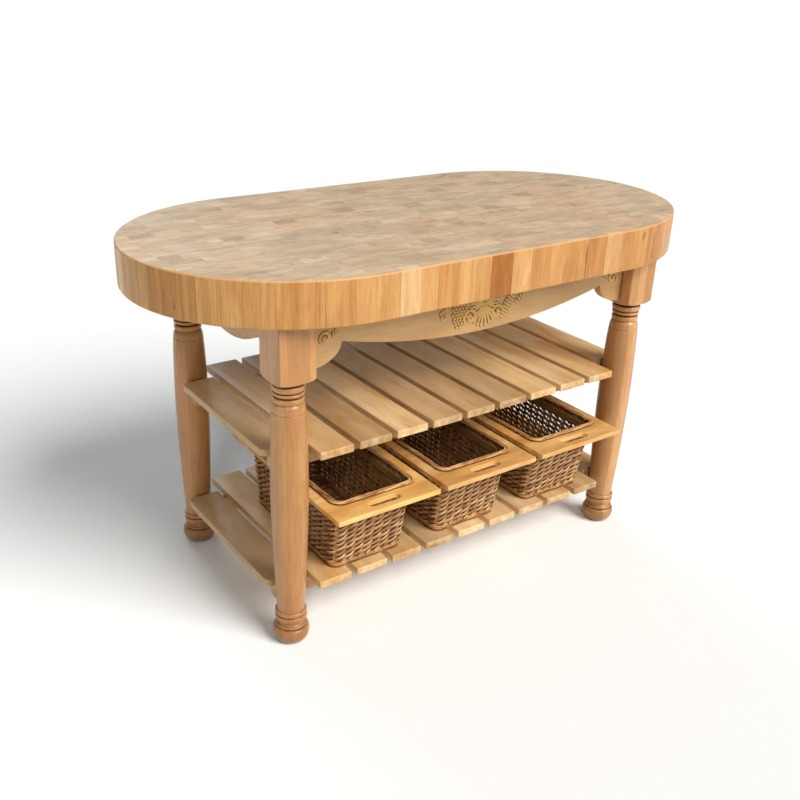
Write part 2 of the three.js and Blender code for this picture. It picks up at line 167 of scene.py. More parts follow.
class Shader:
    """Builds one procedural material; place is the point in the row frame."""

    def __init__(self, name, roughness=0.5, **settings):
        self.material = bpy.data.materials.new(name)
        self.material.use_nodes = True
        self.tree = self.material.node_tree
        self.principled = self.tree.nodes["Principled BSDF"]
        self.principled.inputs["Roughness"].default_value = roughness
        for socket, value in settings.items():
            self.principled.inputs[socket.replace("_", " ")].default_value = value
        self.place = self.node("ShaderNodeTexCoord").outputs["Object"]

    def node(self, kind, **settings):
        node = self.tree.nodes.new(kind)
        for key, value in settings.items():
            setattr(node, key, value)
        return node

    def feed(self, socket, value):
        """Links a socket to the input, or sets the input to a number."""
        if isinstance(value, bpy.types.NodeSocket):
            self.tree.links.new(value, socket)
        else:
            socket.default_value = value

    def math(self, operation, a, b=0.0):
        node = self.node("ShaderNodeMath", operation=operation)
        self.feed(node.inputs[0], a)
        self.feed(node.inputs[1], b)
        return node.outputs[0]

    def product(self, value, *others):
        for other in others:
            value = self.math("MULTIPLY", value, other)
        return value

    def vector(self, operation, a, b):
        node = self.node("ShaderNodeVectorMath", operation=operation)
        self.feed(node.inputs[0], a)
        self.feed(node.inputs[1], b)
        return node.outputs["Value" if operation in ("LENGTH", "DOT_PRODUCT") else "Vector"]

    def combine(self, x, y, z):
        node = self.node("ShaderNodeCombineXYZ")
        for socket, value in zip(node.inputs, (x, y, z)):
            self.feed(socket, value)
        return node.outputs[0]

    def separate(self, vector):
        node = self.node("ShaderNodeSeparateXYZ")
        self.feed(node.inputs[0], vector)
        return node.outputs

    def noise(self, vector, scale, detail=3, roughness=0.5, distortion=0.0):
        node = self.node("ShaderNodeTexNoise")
        self.feed(node.inputs["Vector"], vector)
        node.inputs["Scale"].default_value = scale
        node.inputs["Detail"].default_value = detail
        node.inputs["Roughness"].default_value = roughness
        node.inputs["Distortion"].default_value = distortion
        return node.outputs["Fac"]

    def random(self, value):
        """A fixed random number for each different value."""
        node = self.node("ShaderNodeTexWhiteNoise", noise_dimensions="1D")
        self.feed(node.inputs["W"], value)
        return node.outputs["Value"]

    def cells(self, value, feature, spread):
        """Uneven stretches along a number line: a colour for each, or the distance to its ends."""
        node = self.node("ShaderNodeTexVoronoi", voronoi_dimensions="1D", feature=feature)
        self.feed(node.inputs["W"], value)
        node.inputs["Scale"].default_value = 1
        node.inputs["Randomness"].default_value = spread
        return node.outputs

    def ramp(self, factor, stops):
        node = self.node("ShaderNodeValToRGB")
        self.feed(node.inputs[0], factor)
        elements = node.color_ramp.elements
        while len(elements) < len(stops):
            elements.new(0.5)
        for element, (position, colour) in zip(elements, stops):
            element.position = position
            element.color = (*colour, 1)
        return node.outputs["Color"]

    def fade(self, value, low, high, to_low=0.0, to_high=1.0):
        """Maps a value from low..high to another range, smoothly and clamped."""
        node = self.node("ShaderNodeMapRange", interpolation_type="SMOOTHSTEP")
        self.feed(node.inputs["Value"], value)
        node.inputs["From Min"].default_value = low
        node.inputs["From Max"].default_value = high
        node.inputs["To Min"].default_value = to_low
        node.inputs["To Max"].default_value = to_high
        return node.outputs["Result"]

    def mix(self, factor, a, b):
        """Blends two colours, from a at 0 to b at 1."""
        node = self.node("ShaderNodeMix", data_type="RGBA")
        self.feed(node.inputs[0], factor)
        for socket, colour in zip(node.inputs[6:8], (a, b)):
            self.feed(socket, colour if isinstance(colour, bpy.types.NodeSocket) else (*colour, 1))
        return node.outputs[2]

    def shade(self, colour, amount, warmth=0.0):
        """Multiplies a colour by a number; with warmth, darker parts turn browner, as in stained wood."""
        if not warmth:
            return self.vector("MULTIPLY", colour, self.combine(amount, amount, amount))
        green = self.math("POWER", amount, 1 + warmth)
        blue = self.math("POWER", amount, 1 + 2 * warmth)
        return self.vector("MULTIPLY", colour, self.combine(amount, green, blue))

    def attribute(self, name):
        return self.node("ShaderNodeAttribute", attribute_name=name).outputs["Fac"]

    def colour(self, socket):
        self.feed(self.principled.inputs["Base Color"], socket)

    def roughness(self, socket):
        self.feed(self.principled.inputs["Roughness"], socket)

    def bump(self, height, strength, distance):
        node = self.node("ShaderNodeBump")
        self.feed(node.inputs["Height"], height)
        node.inputs["Strength"].default_value = strength
        node.inputs["Distance"].default_value = distance
        self.feed(self.principled.inputs["Normal"], node.outputs[0])


ALONG = {"X": (0.06, 1, 1), "Y": (1, 0.06, 1), "Z": (1, 1, 0.06)}  # draws a pattern out along the grain
# The darkening of a leg near the floor is a painted shade.
FOOT_SHADE_HEIGHT = 110 * MM  # height up to which a leg's foot is darker


def maple(name, light, middle, dark, grain, roughness=0.38, lines=0.10, figure=0.14, mineral=0.35,
          spread=0.10, coat=0.15, polish=0.22, hollow_shade=0.30, strips=None, foot=None):
    """Lacquered maple: fine faint grain, short flecks, cloudy figure and amber mineral streaks.

    lines, figure, mineral and spread are how strong the grain, the clouds, the streaks and the
    difference between boards are. hollow_shade and foot are how dark the painted shade becomes in grooves
    and at the foot.
    """
    s = Shader(name, roughness, Coat_Weight=coat, Coat_Roughness=polish, Specular_IOR_Level=0.25)
    tone = s.attribute("tone")
    own_place = s.combine(*(s.product(tone, far) for far in (7.1, 3.7, 5.3)))
    place = s.vector("ADD", s.place, own_place)
    along = s.vector("MULTIPLY", place, ALONG[grain])
    half_along = s.vector("MULTIPLY", place, tuple(max(0.3, c) for c in ALONG[grain]))
    broad = s.noise(along, 13, detail=3, distortion=0.2)
    board = s.ramp(broad, ((0.28, light), (0.50, middle), (0.74, dark)))
    amber = tuple(c * k for c, k in zip(dark, (0.92, 0.72, 0.46)))
    vein = s.fade(s.noise(half_along, 13, detail=3, distortion=0.7), 0.50, 0.74)
    board = s.mix(s.product(vein, mineral), board, amber)
    fine = s.noise(along, 230, detail=3, roughness=0.65)
    growth = s.fade(fine, 0.30, 0.62, 1.0 - lines, 1.02)
    flecks = s.noise(along, 900, detail=1)
    dashes = s.fade(flecks, 0.24, 0.40, 1.0 - lines * 1.4, 1.0)
    patches = s.noise(half_along, 24, detail=3, distortion=0.3)
    cloud = s.fade(patches, 0.3, 0.7, 1.0 - figure, 1.0 + figure * 0.35)
    own = s.fade(tone, 0.0, 1.0, 1.0 - spread, 1.0 + spread * 0.5)
    amount = s.product(growth, dashes, cloud, own, cut_ends(s, place, grain))
    if strips:
        amount = s.product(amount, glued_strips(s, strips))
    # Painted shade: with foot given, the wood darkens towards the floor.
    if foot:
        amount = s.product(amount, s.fade(s.separate(s.place)[2], 0.0, FOOT_SHADE_HEIGHT, foot, 1.0))
    # Painted shade: grooves and corners are darkened by ambient occlusion.
    s.colour(s.shade(board, s.product(amount, painted_hollow_shade(s, darkest=hollow_shade)), 0.15))
    s.roughness(s.fade(cloud, 0.85, 1.05, roughness + 0.06, roughness - 0.04))
    s.bump(s.math("ADD", fine, s.product(flecks, 0.5)), 0.06, 0.3 * MM)
    return s.material


def cut_ends(s, place, grain):
    """A board's cut ends drink more stain, so they are speckled; 1 on every other face."""
    facing = s.separate(s.node("ShaderNodeNewGeometry").outputs["Normal"])["XYZ".index(grain)]
    ends = s.fade(s.math("ABSOLUTE", facing), 0.75, 0.92)
    speckle = s.fade(s.noise(place, 55, detail=5, roughness=0.65), 0.34, 0.60, 0.70, 1.04)
    return s.math("ADD", 1.0, s.product(ends, s.math("SUBTRACT", speckle, 1.0)))


def painted_hollow_shade(s, reach=7 * MM, darkest=0.30):
    """Painted shade: grooves and tight corners are darker than the open faces, found by ambient
    occlusion.
    """
    hollow_shade = s.node("ShaderNodeAmbientOcclusion", samples=6)
    hollow_shade.inputs["Distance"].default_value = reach
    return s.fade(hollow_shade.outputs["AO"], 0.30, 0.86, darkest, 1.0)


def glued_strips(s, width):
    """Upright strips a leg is glued up from, each a little lighter or darker."""
    x = s.separate(s.place)[0]
    strip = s.math("FLOOR", s.math("DIVIDE", s.math("ADD", x, 8 * MM), width))
    return s.fade(s.random(strip), 0, 1, 0.87, 1.12)


BLOCK_ROW = 38 * MM  # width of a row of blocks
BLOCK_LENGTH = 54 * MM  # a block's mean length along its row
BLOCK_SPREAD = 0.8  # how uneven the lengths are
ROW_SLIDE = 13.37  # how far each row is slid past the last, in blocks
SEAM = 0.45 * MM
TOP_HEIGHT = cad_high[2]
TOP_EDGE = 4.5 * MM  # radius of the slab's eased edges


def glued_blocks(s):
    """The top's blocks, in rows along X: each block's random colour, and 0 in the seams."""
    x, y, _ = s.separate(s.place)
    lanes = s.math("ADD", s.math("DIVIDE", y, BLOCK_ROW), 40.37)
    row = s.math("FLOOR", lanes)
    slid = s.math("ADD", s.math("DIVIDE", x, BLOCK_LENGTH), s.product(row, ROW_SLIDE))
    chance = s.cells(slid, "F1", BLOCK_SPREAD)["Color"]
    to_end = s.cells(slid, "DISTANCE_TO_EDGE", BLOCK_SPREAD)["Distance"]
    end_gap = s.product(to_end, BLOCK_LENGTH)
    side_gap = s.product(s.math("PINGPONG", lanes, 0.5), BLOCK_ROW)
    seam = s.fade(s.math("MINIMUM", end_gap, side_gap), SEAM * 0.4, SEAM * 1.8)
    return chance, seam


def end_grain():
    """The oiled working face: checkered end-grain blocks with arcs of growth rings and pores."""
    s = Shader("end_grain_face", 0.50, Coat_Weight=0.06, Coat_Roughness=0.4, Specular_IOR_Level=0.4)
    chance, seam = glued_blocks(s)
    first, second, third = s.separate(chance)
    block = s.ramp(first, (
        (0.00, (0.490, 0.355, 0.230)), (0.08, (0.575, 0.425, 0.280)), (0.40, (0.615, 0.468, 0.318)),
        (0.64, (0.620, 0.448, 0.295)), (0.86, (0.665, 0.516, 0.362)), (1.00, (0.575, 0.414, 0.268))))
    aside = [s.product(s.math("SUBTRACT", share, 0.5), 0.9) for share in (second, third)]
    flat = s.vector("MULTIPLY", s.place, (1, 1, 0))
    reach = s.vector("LENGTH", s.vector("SUBTRACT", flat, s.combine(*aside, 0)), (0, 0, 0))
    wobble = s.product(s.noise(flat, 40, detail=2), 0.006)
    rings = s.math("SINE", s.product(s.math("ADD", reach, wobble), 2300))
    pores = s.noise(flat, 900, detail=2, roughness=0.7)
    shifted = s.vector("ADD", flat, chance)
    cloud = s.noise(shifted, 30, detail=4)
    wide = s.vector("MULTIPLY", flat, (0.25, 1, 1))
    smear = s.noise(wide, 19, detail=5, roughness=0.6, distortion=0.6)
    streak = s.noise(s.vector("MULTIPLY", shifted, (0.22, 1, 1)), 60, detail=3)
    amount = s.product(s.fade(rings, -1, 1, 0.95, 1.03), s.fade(pores, 0.25, 0.6, 0.90, 1.03),
                       s.fade(cloud, 0.28, 0.70, 0.92, 1.03), s.fade(smear, 0.36, 0.64, 0.87, 1.06),
                       s.fade(streak, 0.30, 0.62, 0.86, 1.05))
    warm = s.noise(flat, 3.2, detail=3)
    tinted = s.mix(s.fade(warm, 0.35, 0.65), block, s.vector("MULTIPLY", block, (1.05, 0.97, 0.91)))
    knot = s.product(s.fade(second, 0.95, 0.97), s.fade(cloud, 0.55, 0.66))
    body = s.mix(s.product(knot, 0.6), s.shade(tinted, amount), (0.27, 0.16, 0.085))
    s.colour(s.mix(s.product(s.math("SUBTRACT", 1, seam), 0.40), body, (0.30, 0.19, 0.11)))
    s.roughness(s.fade(pores, 0.2, 0.8, 0.58, 0.44))
    s.bump(s.math("ADD", seam, s.product(pores, 0.25)), 0.2, 0.25 * MM)
    return s.material


def block_sides():
    """The slab's lacquered edge: the same blocks seen from the side, with upright grain."""
    s = Shader("block_side_grain", 0.38, Coat_Weight=0.04, Coat_Roughness=0.2, Specular_IOR_Level=0.16)
    chance, seam = glued_blocks(s)
    first, _, third = s.separate(chance)
    stave = s.ramp(first, (
        (0.00, (0.330, 0.115, 0.022)), (0.07, (0.480, 0.222, 0.064)), (0.24, (0.555, 0.295, 0.104)),
        (0.40, (0.500, 0.240, 0.072)), (0.56, (0.590, 0.325, 0.122)), (0.76, (0.540, 0.276, 0.094)),
        (0.86, (0.730, 0.490, 0.245)), (0.91, (0.560, 0.290, 0.100)), (1.00, (0.390, 0.155, 0.038))))
    shifted = s.vector("ADD", s.place, s.vector("MULTIPLY", chance, (3, 3, 3)))
    upright = s.vector("MULTIPLY", shifted, ALONG["Z"])
    drift = s.noise(upright, 40, detail=3, distortion=0.8)
    fine = s.noise(upright, 420, detail=3, roughness=0.6)
    flecks = s.noise(upright, 1100, detail=1)
    figure = s.noise(s.vector("MULTIPLY", shifted, (1, 1, 0.2)), 38, detail=3, distortion=0.4)
    amount = s.product(s.fade(drift, 0.30, 0.70, 0.89, 1.07), s.fade(fine, 0.3, 0.65, 0.89, 1.03),
                       s.fade(flecks, 0.24, 0.42, 0.88, 1.0), s.fade(figure, 0.30, 0.70, 0.93, 1.05))
    knot = s.product(s.fade(third, 0.90, 0.91), s.fade(figure, 0.62, 0.68))
    body = s.mix(s.product(knot, 0.8), s.shade(stave, amount, 0.5), (0.16, 0.050, 0.020))
    body = s.mix(s.product(s.math("SUBTRACT", 1, seam), 0.5), body, (0.26, 0.11, 0.03))
    height = s.separate(s.place)[2]
    # The lighter orange band along the top's eased edge is partly the side grain's own colour and partly
    # a painted highlight.
    edge_grain_and_highlight = s.fade(height, TOP_HEIGHT - TOP_EDGE, TOP_HEIGHT - TOP_EDGE / 3)
    s.colour(s.mix(s.product(edge_grain_and_highlight, 0.7), body, (0.78, 0.39, 0.155)))
    matt = s.fade(fine, 0.2, 0.8, 0.42, 0.32)
    s.roughness(s.math("SUBTRACT", matt, s.product(edge_grain_and_highlight, 0.08)))
    s.bump(s.math("ADD", seam, s.product(fine, 0.3)), 0.10, 0.25 * MM)
    return s.material


def willow(name, dark, middle, light, roughness=0.46, gap=9 * MM, darkest=0.10):
    """Stained willow rods: each rod has its own brown, darker stretches, a soft shine and painted shade
    in the gaps and inside the basket.
    """
    s = Shader(name, roughness, Specular_IOR_Level=0.3)
    rod = s.node("ShaderNodeNewGeometry").outputs["Random Per Island"]
    patch = s.noise(s.place, 42, detail=3)
    fine = s.noise(s.place, 700, detail=2)
    share = s.math("ADD", s.product(rod, 0.42), s.product(patch, 0.58))
    body = s.ramp(share, ((0.26, dark), (0.50, middle), (0.74, light)))
    # Painted shade: the gaps between rods and the inside of the basket are darkened by ambient occlusion.
    amount = s.product(s.fade(fine, 0.3, 0.7, 0.80, 1.10), painted_hollow_shade(s, gap, darkest))
    s.colour(s.shade(body, amount))
    s.roughness(s.fade(fine, 0.2, 0.8, roughness + 0.1, roughness - 0.06))
    s.bump(fine, 0.25, 0.3 * MM)
    return s.material


def metal(name, colour, roughness=0.32):
    """Plated steel with duller smears."""
    s = Shader(name, roughness, Metallic=1.0)
    smear = s.noise(s.place, 260, detail=3)
    s.colour(s.ramp(smear, ((0.3, colour), (0.7, tuple(c * 0.82 for c in colour)))))
    s.roughness(s.fade(smear, 0.3, 0.7, roughness - 0.06, roughness + 0.12))
    s.bump(smear, 0.08, 0.2 * MM)
    return s.material


APRON_FACE = size("front_apron")[0].y


def gilded_maple():
    """The carving: pale maple with a golden stain, darker in the hollows and towards the ground, partly
    the stain pooling and partly painted shade.
    """
    s = Shader("gilded_carving", 0.42, Coat_Weight=0.15, Coat_Roughness=0.3)
    hollow_shade = s.node("ShaderNodeAmbientOcclusion", samples=8)
    hollow_shade.inputs["Distance"].default_value = 4 * MM
    proud = s.math("SUBTRACT", APRON_FACE, s.separate(s.place)[1])
    fine = s.noise(s.place, 300, detail=3)
    # Painted shade with the stain: ambient occlusion and nearness to the apron's face darken the gold
    # towards dark brown.
    stain = s.product(s.fade(hollow_shade.outputs["AO"], 0.35, 0.95, 0.15, 1.0),
                   s.fade(proud, 0.3 * MM, 2.8 * MM, 0.12, 1.0))
    body = s.mix(stain, (0.150, 0.072, 0.012), (0.64, 0.37, 0.095))
    s.colour(s.shade(body, s.fade(fine, 0.25, 0.75, 0.82, 1.08)))
    s.bump(fine, 0.15, 0.3 * MM)
    return s.material


# ---- Mesh helpers ----


def add_piece(name, mesh, material, body, nodes=()):
    """Links a finished mesh as a piece that rides on a body and stands for CAD nodes."""
    piece = new_object(name, mesh)
    for entry in material if isinstance(material, (list, tuple)) else [material]:
        mesh.materials.append(entry)
    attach(piece, body)
    if nodes:
        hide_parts(*nodes)
    return piece


def give_tone(mesh, tone):
    """Stores one number on a whole board, which shifts its colour and grain."""
    layer = mesh.attributes.new("tone", "FLOAT", "POINT")
    layer.data.foreach_set("value", [tone] * len(mesh.vertices))


def soften(mesh, degrees=35):
    """Smooth shading with edges kept sharp above an angle."""
    mesh.shade_smooth()
    mesh.set_sharp_from_angle(angle=math.radians(degrees))


def mesh_from(name, points, faces, degrees=35):
    """A mesh from points and faces; degrees is the angle above which its edges look sharp."""
    mesh = bpy.data.meshes.new(name)
    mesh.from_pydata([tuple(p) for p in points], [], [tuple(int(i) for i in f) for f in faces])
    mesh.validate()
    mesh.update()
    soften(mesh, degrees)
    return mesh


def board_mesh(name, outlines, thickness, edge, matrix, tone, rounds=3, degrees=35):
    """A flat board from 2D outlines, the first outside and the rest holes, with rounded edges."""
    curve = bpy.data.curves.new(name, "CURVE")
    curve.dimensions = "2D"
    curve.fill_mode = "BOTH"
    for outline in outlines:
        spline = curve.splines.new("POLY")
        spline.points.add(len(outline) - 1)
        for point, (x, y) in zip(spline.points, outline):
            point.co = (x, y, 0, 1)
        spline.use_cyclic_u = True
    curve.extrude = thickness / 2 - edge
    curve.bevel_depth = edge
    curve.bevel_resolution = rounds
    curve.offset = -edge
    carrier = new_object(name, curve)
    graph = bpy.context.evaluated_depsgraph_get()
    mesh = bpy.data.meshes.new_from_object(carrier.evaluated_get(graph))
    bpy.data.objects.remove(carrier)
    bpy.data.curves.remove(curve)
    mesh.name = name
    mesh.materials.clear()
    weld(mesh)
    mesh.transform(matrix)
    give_tone(mesh, tone)
    soften(mesh, degrees)
    return mesh


def add_board(node, material, body, *shape, **detail):
    """A board that stands for one CAD node; shape and detail go to board_mesh."""
    name = f"{node}_board"
    add_piece(name, board_mesh(name, *shape, **detail), material, body, [node])


def weld(mesh, distance=1e-5):
    """Joins doubled vertices and turns every face outwards."""
    work = bmesh.new()
    work.from_mesh(mesh)
    bmesh.ops.remove_doubles(work, verts=work.verts, dist=distance)
    bmesh.ops.recalc_face_normals(work, faces=work.faces)
    work.to_mesh(mesh)
    work.free()


def arc(cx, cy, rx, ry, start, end, steps):
    """Points on an ellipse's arc, both ends included; angles in degrees."""
    turns = [math.radians(start + (end - start) * i / steps) for i in range(steps + 1)]
    return [(cx + rx * math.cos(turn), cy + ry * math.sin(turn)) for turn in turns]


def rounded(x0, y0, x1, y1, left, right=None, steps=6):
    """A rectangle with one corner radius on its low-X side and one on its high-X side."""
    right = left if right is None else right
    return (arc(x1 - right, y0 + right, right, right, -90, 0, steps)
            + arc(x1 - right, y1 - right, right, right, 0, 90, steps)
            + arc(x0 + left, y1 - left, left, left, 90, 180, steps)
            + arc(x0 + left, y0 + left, left, left, 180, 270, steps))


def ring_faces(rings, count):
    """Quads between rings of count points each, and a cap on the first ring."""
    faces = [tuple(reversed(range(count)))]
    for i in range(rings - 1):
        for j in range(count):
            k = (j + 1) % count
            faces.append((i * count + j, i * count + k, (i + 1) * count + k, (i + 1) * count + j))
    return faces


def tubes(paths, radii, sides, reference, closed):
    """Points and faces of round rods along a stack of paths, shape (rods, points, 3)."""
    paths = np.asarray(paths, float)
    rods, count, _ = paths.shape
    if closed:
        along = np.roll(paths, -1, 1) - np.roll(paths, 1, 1)
    else:
        along = np.gradient(paths, axis=1)
    along /= np.linalg.norm(along, axis=2, keepdims=True)
    first = np.cross(along, reference)
    first /= np.linalg.norm(first, axis=2, keepdims=True)
    second = np.cross(first, along)
    angles = np.arange(sides) * 2 * np.pi / sides
    radii = np.broadcast_to(np.asarray(radii, float), (rods, count))[:, :, None, None]
    ring = first[:, :, None] * np.cos(angles)[:, None] + second[:, :, None] * np.sin(angles)[:, None]
    points = (paths[:, :, None] + ring * radii).reshape(-1, 3)
    start = np.arange(rods)[:, None, None] * count * sides
    i = np.arange(count if closed else count - 1)[None, :, None]
    j = np.arange(sides)[None, None, :]
    k = (i + 1) % count
    l = (j + 1) % sides
    quads = np.stack([start + i * sides + j, start + i * sides + l, start + k * sides + l,
                      start + k * sides + j], -1)
    faces = quads.reshape(-1, 4).tolist()
    if not closed:
        for rod in range(rods):
            base = rod * count * sides
            faces.append(tuple(base + sides - 1 - q for q in range(sides)))
            faces.append(tuple(base + (count - 1) * sides + q for q in range(sides)))
    return points, faces


def join_parts(parts):
    """Several (points, faces) lists as one."""
    points, faces, offset = [], [], 0
    for part_points, part_faces in parts:
        points.append(np.asarray(part_points))
        faces.extend(tuple(offset + i for i in face) for face in part_faces)
        offset += len(part_points)
    return np.concatenate(points), faces


# ---- Top ----


TOP_STRAIGHT = 359 * MM  # half the length of the oval's straight sides
FLAT = 0.85  # a face that points up or down more than this shows end grain


def build_top():
    """The oval slab with an eased edge: end grain above and below, upright staves round it."""
    low, high, middle = size("end_grain_top")
    reach = high.x - TOP_STRAIGHT
    outline = (arc(TOP_STRAIGHT, 0, reach, high.y, -90, 90, 72)
               + arc(-TOP_STRAIGHT, 0, reach, high.y, 90, 270, 72))
    mesh = board_mesh("oval_top", [outline], high.z - low.z, TOP_EDGE,
                      Matrix.Translation((0, 0, middle.z)), 0.5, rounds=5, degrees=50)
    for face in mesh.polygons:
        face.material_index = 0 if abs(face.normal.z) > FLAT else 1
    add_piece("oval_top", mesh, [end_grain(), block_sides()], "table", ["end_grain_top"])


# ---- Legs ----


def swell(z0, z1, r0, r1, bulge, steps=10):
    """A turned bead or bulb as (height, radius) points, in millimetres."""
    rows = []
    for i in range(steps + 1):
        t = (1 - math.cos(math.pi * i / steps)) / 2
        proud = bulge * math.sqrt(max(0, 1 - (2 * t - 1) ** 2))
        rows.append((z0 + (z1 - z0) * t, r0 + (r1 - r0) * t + proud))
    return rows


def smooth_rows(knots, steps):
    """A Catmull-Rom curve through (height, radius) knots."""
    rows = []
    for i in range(len(knots) - 1):
        p = [knots[max(0, i - 1)], knots[i], knots[i + 1], knots[min(len(knots) - 1, i + 2)]]
        for step in range(steps):
            t = step / steps
            rows.append(tuple(
                0.5 * (2 * p[1][k] + (p[2][k] - p[0][k]) * t
                       + (2 * p[0][k] - 5 * p[1][k] + 4 * p[2][k] - p[3][k]) * t * t
                       + (3 * p[1][k] - p[0][k] - 3 * p[2][k] + p[3][k]) * t ** 3)
                for k in (0, 1)))
    return rows + [knots[-1]]


def leg_rows():
    """The leg's turned outline from the floor to the square block, in millimetres."""
    shaft = [(90, 32.6), (125, 34.6), (160, 36.4), (210, 38.6), (260, 40.4), (350, 42.9), (420, 43.4),
             (490, 42.6), (565, 40.6), (592, 39.0)]
    rows = [(0, 26), (1.5, 29)]
    rows += swell(2, 42, 29.5, 36, 10.6, 18) + [(42.6, 35.2)]
    rows += swell(43, 50, 35.4, 34, 2.8, 8) + [(52, 32), (54.5, 31), (57, 31.2), (59, 32.4)]
    rows += swell(60, 75, 33, 34, 4.6, 12) + [(75.8, 33.6)]
    rows += swell(76.5, 88, 34.5, 33, 4.3, 12)
    rows += smooth_rows(shaft, 4)
    rows += [(600.5, 38.4), (601.6, 37.4), (602.7, 38.2), (608, 37.7), (613, 36.8), (617, 35.6),
             (620, 34.0), (622, 32.3), (623.5, 31.6)]
    rows += swell(624.6, 637, 32.4, 32.4, 2.6, 9) + [(638.2, 29.4), (639.4, 28.5), (640.6, 29.6)]
    rows += swell(641.5, 650, 32.2, 32.8, 3.2, 8) + [(650.9, 30.6)]
    rows += swell(651.8, 666.4, 33.0, 34.6, 3.6, 12)
    rows += [(667.4, 32.4), (668.8, 31.2), (670.2, 32.0), (671.4, 36.4), (673, 40.0), (674.6, 42.4),
             (676, 43.9)]
    return rows


SHOULDER_RISE = 10.5  # mm, from the turned neck to the full square block
ARRIS_CUT = 1.3  # mm, taken off the block's upright corners
TOP_CHAMFER = 0.8  # mm


def leg_turns(per_side=16):
    """Directions round a leg in degrees, closer together at the block's four corners."""
    turns = []
    for side in range(0, 360, 90):
        turns += [side - 42 + 84 * i / (per_side - 1) for i in range(per_side)]
        turns += [side + 43.4, side + 45, side + 46.6]
    return turns


def build_leg(name, material, rng):
    """A leg turned below and square above: each ring is cut to the block's square."""
    low, high, middle = size(f"{name}_leg")
    half = (high.x - low.x) / 2 / MM
    top = high.z / MM
    rows = leg_rows()
    shoulder_start, neck = rows[-1]
    corner = half * math.sqrt(2)
    for i in range(1, 25):
        swing = i / 24 * math.pi / 2
        rows.append((shoulder_start + SHOULDER_RISE * (1 - math.cos(swing)),
                     neck + (corner - neck) * math.sin(swing)))
    rows += [(top - 1, corner + 1), (top, corner + 1)]
    turns = leg_turns()
    points = []
    for z, radius in rows:
        for degree in turns:
            angle = math.radians(degree)
            edge = half - TOP_CHAMFER if z >= top else half
            square = edge / max(abs(math.cos(angle)), abs(math.sin(angle)))
            eased = (corner - ARRIS_CUT) / math.cos(math.radians((degree % 90) - 45))
            r = min(radius, square, eased) * MM
            points.append((middle.x + r * math.cos(angle), middle.y + r * math.sin(angle), z * MM))
    count = len(turns)
    faces = ring_faces(len(rows), count)
    faces.append(tuple((len(rows) - 1) * count + i for i in range(count)))
    mesh = mesh_from(f"turned_leg_{name}", points, faces, 38)
    give_tone(mesh, rng.random())
    add_piece(f"turned_leg_{name}", mesh, material, "table", [f"{name}_leg"])


def build_legs():
    """Four legs, darker and glossier than the rest."""
    material = maple("turned_maple", (0.605, 0.328, 0.135), (0.552, 0.280, 0.105),
                     (0.480, 0.222, 0.076), "Z", roughness=0.34, lines=0.12, figure=0.08, mineral=0.24,
                     coat=0.30, polish=0.13, hollow_shade=0.14, strips=27 * MM, foot=0.72)
    rng = random.Random(4)
    for name in CORNERS:
        build_leg(name, material, rng)


# ---- Aprons and carving ----

CUSP_Z = 739 * MM
LOBE_DROP = 52 * MM
LONG_APRON = (82 * MM, 690 * MM)  # lobe length, height of the lower edge's middle
SHORT_APRON = (64 * MM, 695 * MM)
APRONS = {"front": LONG_APRON, "back": LONG_APRON, "left": SHORT_APRON, "right": SHORT_APRON}


def apron_outline(half, top, lobe, middle_z):
    """An apron's outline: a rounded lobe at each leg and a shallow curve between the lobes."""
    cusp = half - lobe
    rise = CUSP_Z - middle_z
    sweep = (cusp ** 2 + rise ** 2) / (2 * rise)
    swing = math.degrees(math.asin(cusp / sweep))
    points = [(-half, top)]
    points += arc(-half, CUSP_Z, lobe, LOBE_DROP, -90, 0, 16)
    points += arc(0, middle_z + sweep, sweep, sweep, -90 - swing, -90 + swing, 40)[1:]
    points += arc(half, CUSP_Z, lobe, LOBE_DROP, -180, -90, 16)[1:]
    return points + [(half, top)]


def build_aprons():
    """Four paler boards between the legs."""
    pale = ((0.62, 0.395, 0.185), (0.57, 0.345, 0.150), (0.50, 0.285, 0.110))
    rng = random.Random(9)
    materials = {axis: maple(f"apron_maple_{axis.lower()}", *pale, axis, roughness=0.42, lines=0.07,
                             figure=0.14, mineral=0.40, coat=0.1) for axis in ("X", "Y")}
    for name, (lobe, middle_z) in APRONS.items():
        low, high, middle = size(f"{name}_apron")
        length, thickness = high.x - low.x, high.y - low.y
        axis, turn = "X", 0
        if name in ("left", "right"):
            length, thickness = thickness, length
            axis, turn = "Y", math.pi / 2
        stand = Matrix.Translation((middle.x, middle.y, 0)) @ Matrix.Rotation(turn, 4, "Z")
        stand = stand @ Matrix.Rotation(math.pi / 2, 4, "X")
        outline = apron_outline(length / 2, high.z, lobe, middle_z)
        add_board(f"{name}_apron", materials[axis], "table", [outline], thickness, 1.6 * MM, stand,
                  rng.random())


def relief_blob(cx, cz, length, width, height, angle, rows=6, around=10):
    """A low half-rounded petal on the carved face, as (x, out, z) points in millimetres."""
    points = []
    turn = math.radians(angle)
    for i in range(rows + 1):
        polar = math.pi / 2 * i / rows
        for j in range(around):
            spin = 2 * math.pi * j / around
            u = length / 2 * math.cos(spin) * math.cos(polar)
            v = width / 2 * math.sin(spin) * math.cos(polar)
            points.append((cx + u * math.cos(turn) - v * math.sin(turn), height * math.sin(polar),
                           cz + u * math.sin(turn) + v * math.cos(turn)))
    return points, ring_faces(rows + 1, around)


